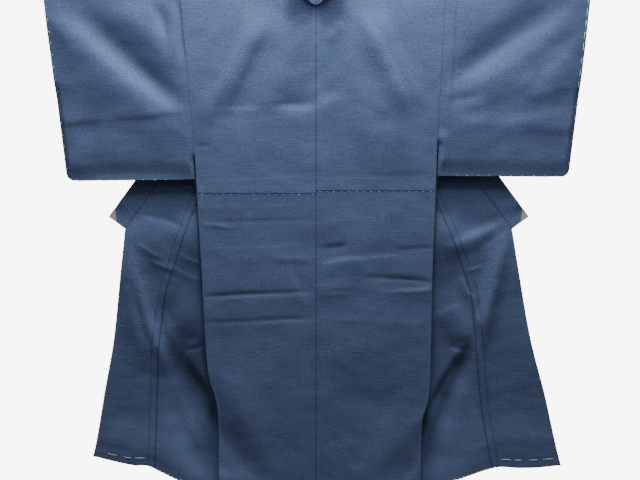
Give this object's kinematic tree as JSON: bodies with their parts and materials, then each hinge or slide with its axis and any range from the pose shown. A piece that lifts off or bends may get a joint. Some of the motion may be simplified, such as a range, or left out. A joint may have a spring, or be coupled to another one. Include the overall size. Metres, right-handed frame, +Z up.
{
  "type": "kimono hung on a rod",
  "caption": "A lined silk kimono hung on a plain rod, its back outwards and its fronts opened to the sides, with square sleeves.",
  "frame": {"origin": "the middle of the rod that holds the garment, on the rod's axis", "axes": "+X along the rod, towards the right sleeve as seen from the garment's back; +Y away from the viewer of the back; +Z up"},
  "size_m": [1.46, 0.1482, 1.4013],
  "materials": {
    "navy_silk": "fine ribbed silk, soft sheen",
    "grey_lining": "plain smooth lining",
    "basting_thread": "white cotton thread",
    "rod_wood": "plain turned wood, satin"
  },
  "bodies": {
    "root": {"rod": "rod_wood", "body_left": "navy_silk", "body_right": "navy_silk", "okumi_left": "navy_silk", "okumi_right": "navy_silk", "sleeve_left": "navy_silk", "sleeve_right": "navy_silk", "collar": "navy_silk", "collar_tip_left": "grey_lining", "collar_tip_right": "grey_lining"}
  },
  "joints": []
}
